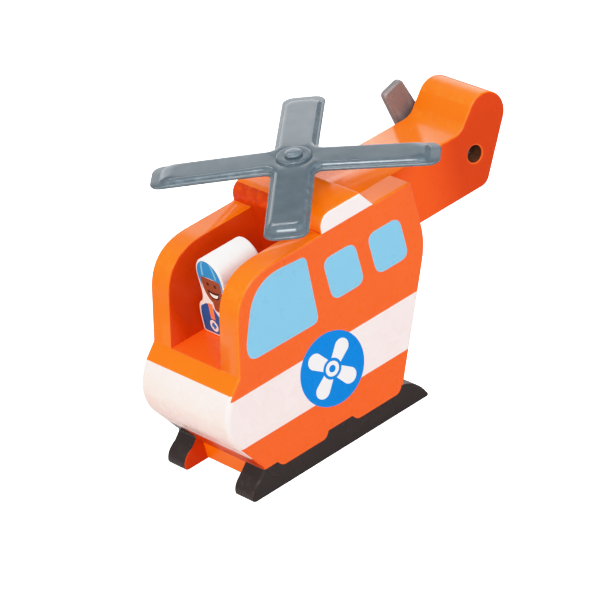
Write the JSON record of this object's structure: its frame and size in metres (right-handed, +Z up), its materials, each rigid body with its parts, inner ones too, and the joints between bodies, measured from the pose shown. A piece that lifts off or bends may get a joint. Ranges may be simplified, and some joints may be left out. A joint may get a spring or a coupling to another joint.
{
  "type": "toy helicopter",
  "caption": "Painted wooden toy helicopter built from glued boards, with a turning main rotor and tail rotor and a loose block pilot in an open cockpit.",
  "frame": {"origin": "on the ground under the middle of the whole object's length and width", "axes": "+X to the nose, +Y to port (the left side as the pilot faces), +Z up; at rest the rotors stand as pictured"},
  "size_m": [0.163, 0.0892, 0.1087],
  "materials": {
    "orange_paint": "semi-gloss orange paint over smooth wood, with printed windows, stripe and skids",
    "bare_beech": "bare turned beech",
    "grey_plastic": "blue-grey moulded plastic, satin gloss",
    "nylon": "natural nylon",
    "steel": "zinc-plated",
    "pilot_paint": "white gloss paint with a printed doll on the front"
  },
  "bodies": {
    "airframe": {"port_side_board": "orange_paint", "starboard_side_board": "orange_paint", "centre_board": "orange_paint", "port_dowel_front": "bare_beech", "port_dowel_rear": "bare_beech", "starboard_dowel_front": "bare_beech", "starboard_dowel_rear": "bare_beech", "mast_pin": "grey_plastic", "mast_washer": "nylon", "tail_thrust_washer": "nylon"},
    "main_rotor": {"main_rotor": "grey_plastic"},
    "tail_rotor": {"tail_rotor": "grey_plastic", "tail_screw": "steel", "tail_washer": "steel"},
    "pilot": {"pilot_figure": "pilot_paint"}
  },
  "joints": [
    {"name": "main_rotor_spin", "type": "hinge", "parent": "airframe", "child": "main_rotor", "pos_m": [0.0062, 0, 0.101], "axis": [-0.0646, 0.0835, 0.9944], "continuous": true},
    {"name": "tail_rotor_spin", "type": "hinge", "parent": "airframe", "child": "tail_rotor", "pos_m": [-0.0629, -0.02, 0.075], "axis": [0, 1, 0], "continuous": true},
    {"name": "pilot_slide", "type": "slide", "parent": "airframe", "child": "pilot", "axis": [1, 0, 0], "range_m": [-0.0155, 0.045]}
  ]
}
